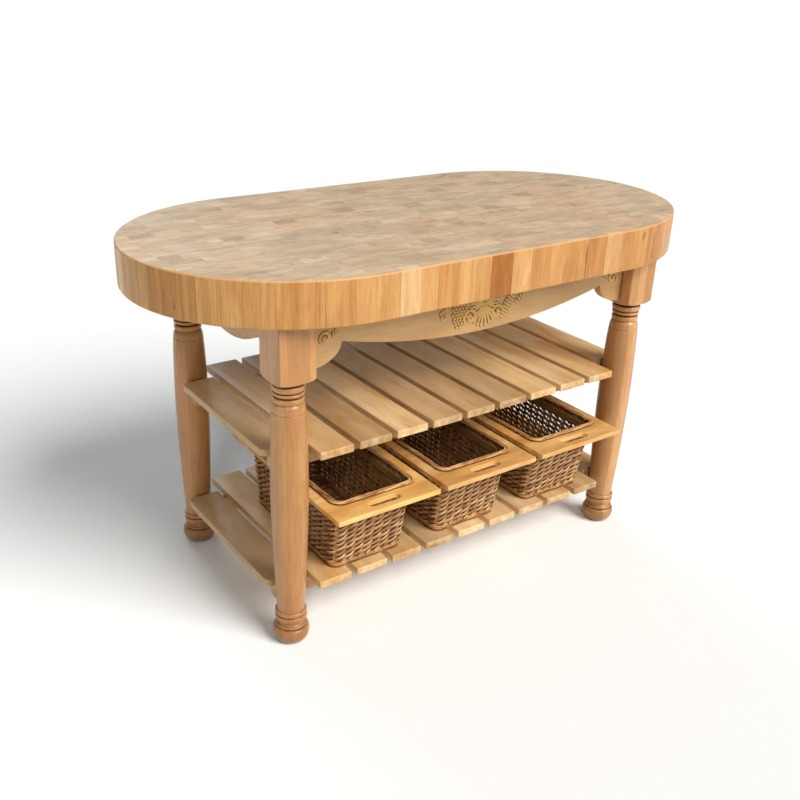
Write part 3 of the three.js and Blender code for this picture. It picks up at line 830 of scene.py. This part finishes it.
def relief_scroll(cx, cz, radius, turns, start, spin, width, height):
    """A tapering spiral roll that opens outwards from its eye."""
    steps = int(26 * turns)
    path, radii = [], []
    for i in range(steps + 1):
        t = i / steps
        angle = math.radians(start) + spin * 2 * math.pi * turns * t
        reach = radius * (0.16 + 0.84 * t ** 1.15)
        path.append((cx + reach * math.cos(angle), height * 0.35, cz + reach * math.sin(angle)))
        radii.append(width * (0.55 + 0.6 * math.sin(math.pi * min(1.0, t * 1.02) ** 0.8)))
    points, faces = tubes([path], [radii], 8, (0, 1, 0), False)
    points[:, 1] = np.clip(points[:, 1] * height / width * 0.6, 0, None)
    eye = 0.42 * radius
    return join_parts([(points, faces), relief_blob(cx, cz, eye, eye, height * 1.1, 0)])


def grape_bunch(cx, cz, counts, grape):
    """Grapes side by side in staggered rows, one count for each row from the top down."""
    parts = []
    for row, count in enumerate(counts):
        for i in range(count):
            x = cx + (i - (count - 1) / 2 + 0.25 * (-1) ** row) * grape * 0.96
            parts.append(relief_blob(x, cz - row * grape * 0.80, grape, grape, grape * 0.46, 0, 4, 10))
    return join_parts(parts)


def fan_leaf(cx, cz, reach, ribs, spread, width, height, facing=-90):
    """A shell-like leaf of ribs that spread from one point."""
    parts = []
    for i in range(ribs):
        angle = facing + spread * (i / (ribs - 1) - 0.5)
        long = reach * (0.82 + 0.18 * math.cos(math.radians(angle - facing) * 1.6))
        away_x = long * math.cos(math.radians(angle))
        away_z = long * math.sin(math.radians(angle))
        parts.append(relief_blob(cx + 0.52 * away_x, cz + 0.52 * away_z, long, width, height, angle))
        parts.append(relief_blob(cx + 0.98 * away_x, cz + 0.98 * away_z, width * 1.3, width * 1.1,
                                 height * 0.9, angle, 4, 8))
    return join_parts(parts)


def fluted_leaf(start, end, ribs, length, width, height, angle):
    """A leaf of short parallel flutes, set side by side along a line and longest in its middle."""
    parts = []
    for i in range(ribs):
        t = i / (ribs - 1)
        x = start[0] + (end[0] - start[0]) * t
        z = start[1] + (end[1] - start[1]) * t
        long = length * (0.60 + 0.40 * math.sin(math.pi * (0.12 + 0.76 * t)))
        parts.append(relief_blob(x, z, long, width, height, angle + 10 * (0.5 - t)))
    return join_parts(parts)


def corner_scroll(cx, side):
    """The small scroll on an apron's lobe, with a fluted stem that rises towards the middle."""
    stem_from = (cx - side * 19, 760)
    stem_to = (cx - side * 52, 781)
    return [relief_scroll(cx, 755, 16, 1.35, 100, -side, 4.6, 4.4),
            fluted_leaf(stem_from, stem_to, 6, 20, 6.6, 3.6, 90 + side * 18),
            relief_blob(cx - side * 36, 776, 56, 9, 2.6, 90 + side * 58)]


def build_carving():
    """The front apron's ornament: a shell between two scrolls, with grapes on the left and leaves.

    Places and sizes are in millimetres, in front view; the last three are the low ground under it.
    """
    parts = [
        fan_leaf(3, 757, 54, 8, 96, 9.0, 4.4),
        fan_leaf(3, 760, 40, 4, 40, 8.6, 3.8, -4),
        fan_leaf(3, 760, 40, 4, 40, 8.6, 3.8, -176),
        fan_leaf(3, 760, 34, 7, 128, 8.0, 4.0, 90),
        relief_blob(3, 758, 24, 11, 4.8, 0),
        relief_scroll(-37, 731, 21, 1.45, 60, 1, 4.4, 4.8),
        relief_scroll(43, 730, 21, 1.45, 120, -1, 4.4, 4.8),
        relief_scroll(-30, 775, 13, 1.2, -90, -1, 3.4, 4.0),
        relief_scroll(36, 775, 13, 1.2, -90, 1, 3.4, 4.0),
        grape_bunch(-71, 765, (5, 5, 5, 5, 5, 4, 4, 2), 9.4),
        fluted_leaf((60, 716), (90, 772), 9, 31, 8.4, 4.2, -35),
        fluted_leaf((-56, 783), (-92, 787), 6, 18, 6.4, 3.6, 80),
        fluted_leaf((104, 747), (124, 764), 4, 22, 7.4, 3.4, -60),
        fluted_leaf((-104, 765), (-128, 754), 5, 22, 6.0, 3.4, 70),
        relief_scroll(-121, 744, 9, 1.1, 30, 1, 2.8, 3.4),
        relief_blob(-71, 740, 62, 44, 1.6, 97),
        relief_blob(3, 742, 92, 50, 1.5, 0),
        relief_blob(75, 744, 70, 30, 1.5, 60),
    ]
    for side in (-1, 1):
        parts += corner_scroll(side * 436.5, side)
    points, faces = join_parts(parts)
    sunk = 0.2  # into the board, so that no gap shows
    placed = [(x * MM, APRON_FACE + (sunk - out) * MM, z * MM) for x, out, z in points]
    mesh = mesh_from("apron_carving", placed, faces, 60)
    add_piece("apron_carving", mesh, gilded_maple(), "table")


# ---- Shelves ----


SHELF_CORNER = 16 * MM  # radius at a shelf's four corners
SLAT_CORNER = 3 * MM
CLEAT_CORNER = 14 * MM


def build_shelves():
    """Both shelves' slats, numbered 1 to 11 from the left, and the cleats under them."""
    slat_wood = maple("shelf_maple", (0.77, 0.555, 0.310), (0.68, 0.460, 0.230), (0.60, 0.355, 0.142),
                      "Y", roughness=0.36, lines=0.06, figure=0.12, mineral=0.75, spread=0.26, coat=0.15)
    cleat_wood = maple("cleat_maple", (0.66, 0.43, 0.20), (0.60, 0.365, 0.16), (0.50, 0.28, 0.11),
                       "X", roughness=0.46, lines=0.08, figure=0.12)
    rng = random.Random(21)
    for node in sorted(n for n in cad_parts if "_shelf_slat_" in n):
        low, high, middle = size(node)
        half = (high - low) / 2
        number = int(node[-2:])
        left = SHELF_CORNER if number == 1 else SLAT_CORNER
        right = SHELF_CORNER if number == 11 else SLAT_CORNER
        outline = rounded(-half.x, -half.y, half.x, half.y, left, right)
        add_board(node, slat_wood, "table", [outline], high.z - low.z, 2.4 * MM,
                  Matrix.Translation(middle), rng.random())
    for node in sorted(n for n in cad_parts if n.endswith("_cleat")):
        low, high, middle = size(node)
        half = (high - low) / 2
        bend = (CLEAT_CORNER - half.z, CLEAT_CORNER, CLEAT_CORNER)
        outline = [(-half.x, half.z), *arc(CLEAT_CORNER - half.x, *bend, 180, 270, 8),
                   *arc(half.x - CLEAT_CORNER, *bend, 270, 360, 8), (half.x, half.z)]
        stand = Matrix.Translation(middle) @ Matrix.Rotation(math.pi / 2, 4, "X")
        add_board(node, cleat_wood, "table", [outline], high.y - low.y, 1.5 * MM, stand, rng.random(),
                  rounds=2)


# ---- Baskets ----

TUB_LOW = size("wicker_basket_1")[0].z
TUB_HIGH = size("basket_frame_1")[1].z  # top of the frames, under the rolled rims
HAND_SLOT = (88 * MM, 22 * MM, 32 * MM)  # length, height, distance of its middle from the front edge
FRAME_GAP = 0.4 * MM  # between a frame and its basket
TUB_BOTTOM = {"half": 103 * MM, "front": -264 * MM, "back": 124 * MM}
TUB_TOP = {"half": 111 * MM, "front": -294 * MM, "back": 138 * MM}
TUB_CORNER = 23 * MM
WEAVE_INSET = 4.0 * MM  # from the basket's outside to the middle of its wall
STAKES = 46
STAKE = 1.7 * MM  # radius of an upright rod
CORNER_STAKE = 2.1 * MM
ROD = 2.1 * MM  # radius of a weaving rod
SWING = 3.2 * MM  # how far a weaving rod passes in front of and behind the stakes
CLIMB = 7.4 * MM  # how much a weaving rod rises from one stake to the next


def tub_stops():
    """Shares of the way round a basket where its sides and corners begin, from the front side on."""
    long_x = 2 * (TUB_TOP["half"] - TUB_CORNER)
    long_y = TUB_TOP["back"] - TUB_TOP["front"] - 2 * TUB_CORNER
    bend = math.pi / 2 * (TUB_CORNER - WEAVE_INSET)
    lengths = [long_x, bend, long_y, bend] * 2
    return np.cumsum([0] + lengths) / sum(lengths)


TUB_STOPS = tub_stops()


def tub(share, z, out, middle_x):
    """Points on a basket's wall at a share of the way round it and a height, and moved outwards."""
    rise = (z - TUB_LOW) / (TUB_HIGH - TUB_LOW)
    wall = {side: low + (TUB_TOP[side] - low) * rise for side, low in TUB_BOTTOM.items()}
    half = wall["half"] - WEAVE_INSET
    front = wall["front"] + WEAVE_INSET
    back = wall["back"] - WEAVE_INSET
    radius = TUB_CORNER - WEAVE_INSET
    share = np.asarray(share) % 1.0
    leg = np.clip(np.searchsorted(TUB_STOPS, share, side="right") - 1, 0, 7)
    t = (share - TUB_STOPS[leg]) / (TUB_STOPS[leg + 1] - TUB_STOPS[leg])
    turn = np.radians(-90 + 90 * (leg // 2 + np.where(leg % 2 == 1, t, 0)))
    normal_x, normal_y = np.cos(turn), np.sin(turn)
    inner_x = half - radius
    side_y = back - front - 2 * radius
    centre_x = np.select([leg == 0, leg == 4], [inner_x * (2 * t - 1), inner_x * (1 - 2 * t)],
                         np.where((leg >= 1) & (leg <= 3), inner_x, -inner_x))
    centre_y = np.select([leg == 2, leg == 6], [front + radius + side_y * t, back - radius - side_y * t],
                         np.where((leg >= 3) & (leg <= 5), back - radius, front + radius))
    x = centre_x + (radius + out) * normal_x
    y = centre_y + (radius + out) * normal_y
    return np.stack(np.broadcast_arrays(middle_x + x, y, z), -1)


def weave_walls(middle_x, rng):
    """Doubled rods that start at each stake in turn and climb past the others, in front and behind."""
    steps = 6
    foot, head = TUB_LOW + 13 * MM, TUB_HIGH - 1 * MM
    spans = (head - foot) / CLIMB
    paths, radii = [], []
    for stake in range(STAKES):
        wander = rng.uniform(-0.10, 0.10)
        for rod in (-1, 1):
            walk = np.linspace(0, spans, int(spans * steps) + 1)
            phase = math.pi * (walk + wander)
            swing = np.where(walk > spans - 2.2, SWING * 0.75, SWING)
            out = swing * np.cos(phase) * (1 + 0.07 * rod) + 0.3 * MM
            height = foot + CLIMB * walk + rod * ROD * 0.95 + 0.8 * MM * np.sin(phase)
            paths.append(tub((stake + walk) / STAKES, height, out, middle_x))
            radii.append(ROD * rng.uniform(0.88, 1.08) * (1.0 + 0.08 * np.cos(phase)))
    return tubes(paths, radii, 5, (0, 0, 1), False)


def weave_stakes(middle_x, rng):
    """Upright rods behind and in front of which the weavers pass, and a stout one at each corner."""
    heights = np.linspace(TUB_LOW + 3 * MM, TUB_HIGH + 1 * MM, 9)
    paths, radii = [], []
    for stake in range(STAKES):
        share = stake / STAKES + rng.uniform(-0.0006, 0.0006)
        paths.append(tub(0 * heights + share, heights, 0, middle_x))
        radii.append(0 * heights + STAKE)
    for corner in (TUB_STOPS[1:8:2] + TUB_STOPS[2:9:2]) / 2:
        lean = -0.5 * MM + 0.9 * MM * np.sin(heights * 210 + corner * 40)
        paths.append(tub(0 * heights + corner, heights, lean, middle_x))
        radii.append(0 * heights + CORNER_STAKE)
    return tubes(paths, radii, 6, (1, 0.3, 0), False)


def weave_foot(middle_x, rng):
    """The stout wale round the bottom edge: long strokes, almost level, in four courses."""
    share = np.arange(300) / 300
    paths, radii = [], []
    for row, height in enumerate((2.6 * MM, 6.2 * MM, 9.8 * MM, 13.4 * MM)):
        for strand in range(2):
            way = -1 if row % 2 else 1
            phase = 2 * math.pi * (11 * share + strand / 2 + rng.random() * 0.1) * way
            out = 1.7 * MM * np.cos(phase) + (0.4 * MM if row else -0.8 * MM)
            z = TUB_LOW + height + 0.5 * MM * np.sin(phase)
            paths.append(tub(share, z, out, middle_x))
            radii.append(0 * share + 2.05 * MM * rng.uniform(0.92, 1.04))
    return tubes(paths, radii, 6, (0, 0, 1), True)


def weave_base(middle_x):
    """The flat bottom: stout sticks along Y with rods woven across them."""
    half = TUB_BOTTOM["half"] - 8 * MM
    front, back = TUB_BOTTOM["front"] + 8 * MM, TUB_BOTTOM["back"] - 8 * MM
    height = TUB_LOW + 4.6 * MM
    sticks = [[(middle_x + x, front + (back - front) * t, height) for t in np.linspace(0, 1, 8)]
              for x in np.linspace(-half * 0.9, half * 0.9, 8)]
    parts = [tubes(sticks, 2.3 * MM, 6, (0, 0, 1), False)]
    spacing = half * 1.8 / 7
    xs = np.linspace(-half, half, 32)
    cross = []
    for row, y in enumerate(np.arange(front, back, 4.1 * MM)):
        z = height + 2.0 * MM * np.cos(math.pi * (xs + half * 0.9) / spacing + math.pi * row)
        cross.append(np.stack([middle_x + xs, np.full_like(xs, y), z], -1))
    parts.append(tubes(cross, 1.75 * MM, 5, (0, 0, 1), False))
    return join_parts(parts)


def weave_rim(middle_x, top, rng):
    """The rolled border: thin rods that run almost side by side, slowly winding round each other."""
    low = TUB_HIGH + 0.3 * MM
    middle_z, half = (low + top) / 2, (top - low) / 2
    share = np.arange(420) / 420
    turns, strands = 8, 6
    paths, radii = [], []
    for strand in range(strands):
        phase = 2 * math.pi * (turns * share + strand / strands)
        stray = 0.7 * MM * np.sin(2 * math.pi * (share * rng.choice((11, 13, 17)) + rng.random()))
        out = 2.6 * MM + 4.3 * MM * np.cos(phase) + stray
        lift = (half - 2.0 * MM) * np.sin(phase)
        paths.append(tub(share, middle_z + lift, out, middle_x))
        radii.append(0 * share + 1.85 * MM * rng.uniform(0.84, 1.06))
    return tubes(paths, radii, 7, (0, 0, 1), True)


def build_basket(number, materials):
    """One woven basket in its wooden frame, both riding on the basket's body, and the finish of its
    laths.
    """
    body = f"basket_{number}"
    node = f"wicker_basket_{number}"
    rng = random.Random(100 + number)
    _, high, middle = size(node)
    walls = join_parts([weave_walls(middle.x, rng), weave_stakes(middle.x, rng)])
    foot = join_parts([weave_foot(middle.x, rng), weave_base(middle.x)])
    rim = weave_rim(middle.x, high.z, rng)
    for name, shape, nodes in (("woven_walls", walls, [node]), ("woven_foot", foot, []),
                               ("rolled_rim", rim, [])):
        mesh = mesh_from(f"{body}_{name}", *shape, 60)
        add_piece(f"{body}_{name}", mesh, materials[name], body, nodes)
    build_basket_frame(number, materials["frame"], rng)
    for side in ("left", "right"):
        finish_node(f"{body}_{side}_lath", materials["lath"])


def build_basket_frame(number, material, rng):
    """The flat frame round a basket's top, with a hand slot through its front rail."""
    node = f"basket_frame_{number}"
    low, high, middle = size(node)
    outer = rounded(low.x, low.y, high.x, high.y, 4 * MM, steps=5)
    half = TUB_TOP["half"] + FRAME_GAP
    hole = rounded(middle.x - half, TUB_TOP["front"] - FRAME_GAP,
                   middle.x + half, TUB_TOP["back"] + FRAME_GAP, TUB_CORNER + FRAME_GAP, steps=8)
    length, height, inset = HAND_SLOT
    slot_y = low.y + inset
    grip = rounded(middle.x - length / 2, slot_y - height / 2,
                   middle.x + length / 2, slot_y + height / 2, height / 2 - 0.01 * MM, steps=8)
    add_board(node, material, f"basket_{number}", [outer, hole, grip], high.z - low.z, 2.2 * MM,
              Matrix.Translation((0, 0, middle.z)), rng.random())


def build_baskets():
    """Three baskets in shared materials."""
    materials = {
        "woven_walls": willow("willow_walls", (0.21, 0.082, 0.024), (0.44, 0.215, 0.074),
                              (0.66, 0.395, 0.168)),
        "woven_foot": willow("willow_foot", (0.24, 0.085, 0.022), (0.46, 0.205, 0.065),
                             (0.66, 0.36, 0.14)),
        "rolled_rim": willow("willow_rim", (0.34, 0.140, 0.044), (0.60, 0.315, 0.120),
                             (0.80, 0.520, 0.250), roughness=0.38, gap=3 * MM, darkest=0.28),
        "frame": maple("frame_maple", (0.88, 0.580, 0.250), (0.79, 0.455, 0.150), (0.66, 0.315, 0.075),
                       "X", roughness=0.30, lines=0.08, figure=0.20, mineral=0.65, spread=0.14,
                       coat=0.25),
        "lath": maple("lath_wood", (0.40, 0.235, 0.075), (0.33, 0.180, 0.052), (0.25, 0.125, 0.034),
                      "Y", roughness=0.6),
    }
    for number in BASKETS:
        build_basket(number, materials)


# ---- CAD nodes that keep their own shape ----


def finish_node(node, material):
    """Gives a CAD node that keeps its own shape its finished material."""
    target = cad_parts[node]
    target.data.materials.clear()
    target.data.materials.append(material)


def finish_hardware():
    """The corner braces and what fastens them, under the top."""
    brace = maple("brace_maple", (0.62, 0.42, 0.21), (0.55, 0.35, 0.17), (0.46, 0.27, 0.12), "X",
                  roughness=0.55)
    zinc = metal("zinc_plate", (0.62, 0.63, 0.65))
    brass = metal("yellow_zinc", (0.70, 0.58, 0.30))
    for name in CORNERS:
        finish_node(f"{name}_corner_brace", brace)
        finish_node(f"{name}_hanger_bolt", zinc)
        finish_node(f"{name}_top_screw", brass)


add_camera()
add_studio()
add_floor()
build_top()
build_legs()
build_aprons()
build_carving()
build_shelves()
build_baskets()
finish_hardware()
